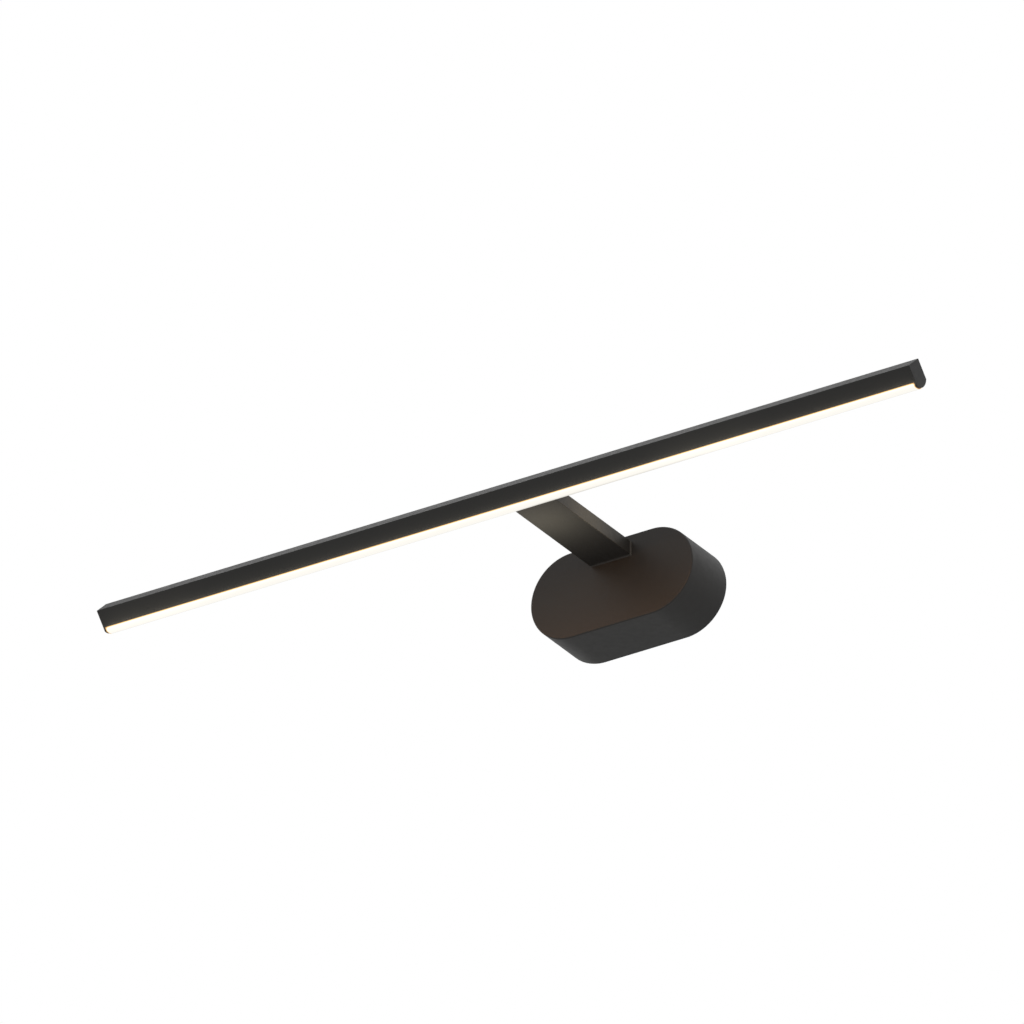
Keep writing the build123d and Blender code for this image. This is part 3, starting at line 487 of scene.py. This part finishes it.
# Lamps that stand in for the dome's own light and turn with the bar, in the bar's frame: place,
# facing, size (the first along X, or along Y for a lamp that faces along X), spread in degrees,
# watts, colour. The names that start with glow keep out of reflections.
BAR_LAMPS = {
    "strip_bottom": (
        (0, DOME_MID, DOME_LOW.z - GAP), (0, 0, -1), (DOME_LENGTH, BAR_DEPTH), 180, 0.140, ORANGE
    ),
    "strip_glow": ((0, *AT_SEAM), UP_AND_BACK, (DOME_LENGTH, 0.002), 180, 0.0116, CREAM),
    "glow_left": ((-0.272, *IN_FRONT), UP_AND_BACK, WARM_PATCH, 180, 0.0038, WARM_WHITE),
    "glow_right": ((0.145, *IN_FRONT), UP_AND_BACK, WARM_PATCH, 180, 0.0033, WARM_WHITE),
    "glow_cap": (
        (PROFILE_HIGH.x + 0.008, DOME_MID, DOME_LOW.z - 0.003),
        (-1, 0, 0.4), (0.006, 0.006), 150, 0.0003, WARM_WHITE,
    ),
}

ARM_LOW, ARM_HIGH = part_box("arm_tube")
ARM_X, ARM_Z = (ARM_LOW.x + ARM_HIGH.x) / 2, (ARM_LOW.z + ARM_HIGH.z) / 2
# lamps that stand in for what the dome throws on the arm beside it at rest: the same columns
ARM_LAMPS = {
    "arm_under": (
        (ARM_X - 0.008, ARM_LOW.y + 0.027, ARM_LOW.z - 0.045),
        (0, 0, 1), (0.030, 0.014), 110, 0.0300, (1.0, 0.91, 0.69),
    ),
    "arm_side": (
        (ARM_HIGH.x + 0.040, ARM_LOW.y + 0.044, ARM_Z),
        (-1, 0, 0), (0.030, 0.016), 105, 0.0180, (1.0, 0.82, 0.54),
    ),
}


def make_stage():
    mesh = bpy.data.meshes.new("floor")
    bm = bmesh.new()
    bmesh.ops.create_grid(bm, x_segments=1, y_segments=1, size=FLOOR_SIZE)
    bm.to_mesh(mesh)
    bm.free()
    floor = link("floor", mesh)
    floor.location.z = FLOOR_Z
    pale = moulded("pale_floor", (0.80, 0.80, 0.79), 0.7, grain=60, spread=0.01)
    floor.data.materials.append(pale)


def make_world():
    """White to the camera, and dimmer as a light."""
    world = bpy.data.worlds.new("studio")
    world.use_nodes = True
    scene.world = world
    nodes, links = world.node_tree.nodes, world.node_tree.links
    seen = nodes["Background"]
    lighting = nodes.new("ShaderNodeBackground")
    for background in (seen, lighting):
        background.inputs["Color"].default_value = (*WHITE, 1)
    lighting.inputs["Strength"].default_value = WORLD_LIGHT
    mix = nodes.new("ShaderNodeMixShader")
    path = nodes.new("ShaderNodeLightPath")
    links.new(path.outputs["Is Camera Ray"], mix.inputs["Fac"])
    links.new(lighting.outputs["Background"], mix.inputs[1])
    links.new(seen.outputs["Background"], mix.inputs[2])
    links.new(mix.outputs["Shader"], nodes["World Output"].inputs["Surface"])


def area_light(name, at, facing, size, power, colour, spread=180):
    """A rectangular lamp that the camera doesn't see."""
    data = bpy.data.lights.new(name, "AREA")
    data.spread = math.radians(spread)
    data.energy = power
    data.color = colour
    data.shape = "RECTANGLE"
    data.size, data.size_y = size
    obj = link(name, data)
    back = -Vector(facing).normalized()
    side = Vector((1, 0, 0)) if abs(back.x) < 0.9 else Vector((0, 1, 0))
    side = (side - back * side.dot(back)).normalized()
    obj.rotation_mode = "QUATERNION"
    axes = Matrix((side, back.cross(side), back)).transposed()
    obj.rotation_quaternion = axes.to_quaternion()
    obj.location = at
    obj.visible_camera = False
    return obj


make_hinge_lead()
make_camera()
make_stage()
make_world()
for name, (at, side, power) in STUDIO.items():
    area_light(name, at, AIM - Vector(at), (side, side), power, WHITE)
for name, (at, facing, size, spread, power, colour) in BAR_LAMPS.items():
    lamp = area_light(name, on_bar(*at), TURN @ Vector(facing), size, power, colour, spread)
    lamp.visible_glossy = not name.startswith("glow")
    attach(lamp, "light_bar")
for name, (at, facing, size, spread, power, colour) in ARM_LAMPS.items():
    lamp = area_light(name, at, facing, size, power, colour, spread)
    lamp.visible_glossy = False
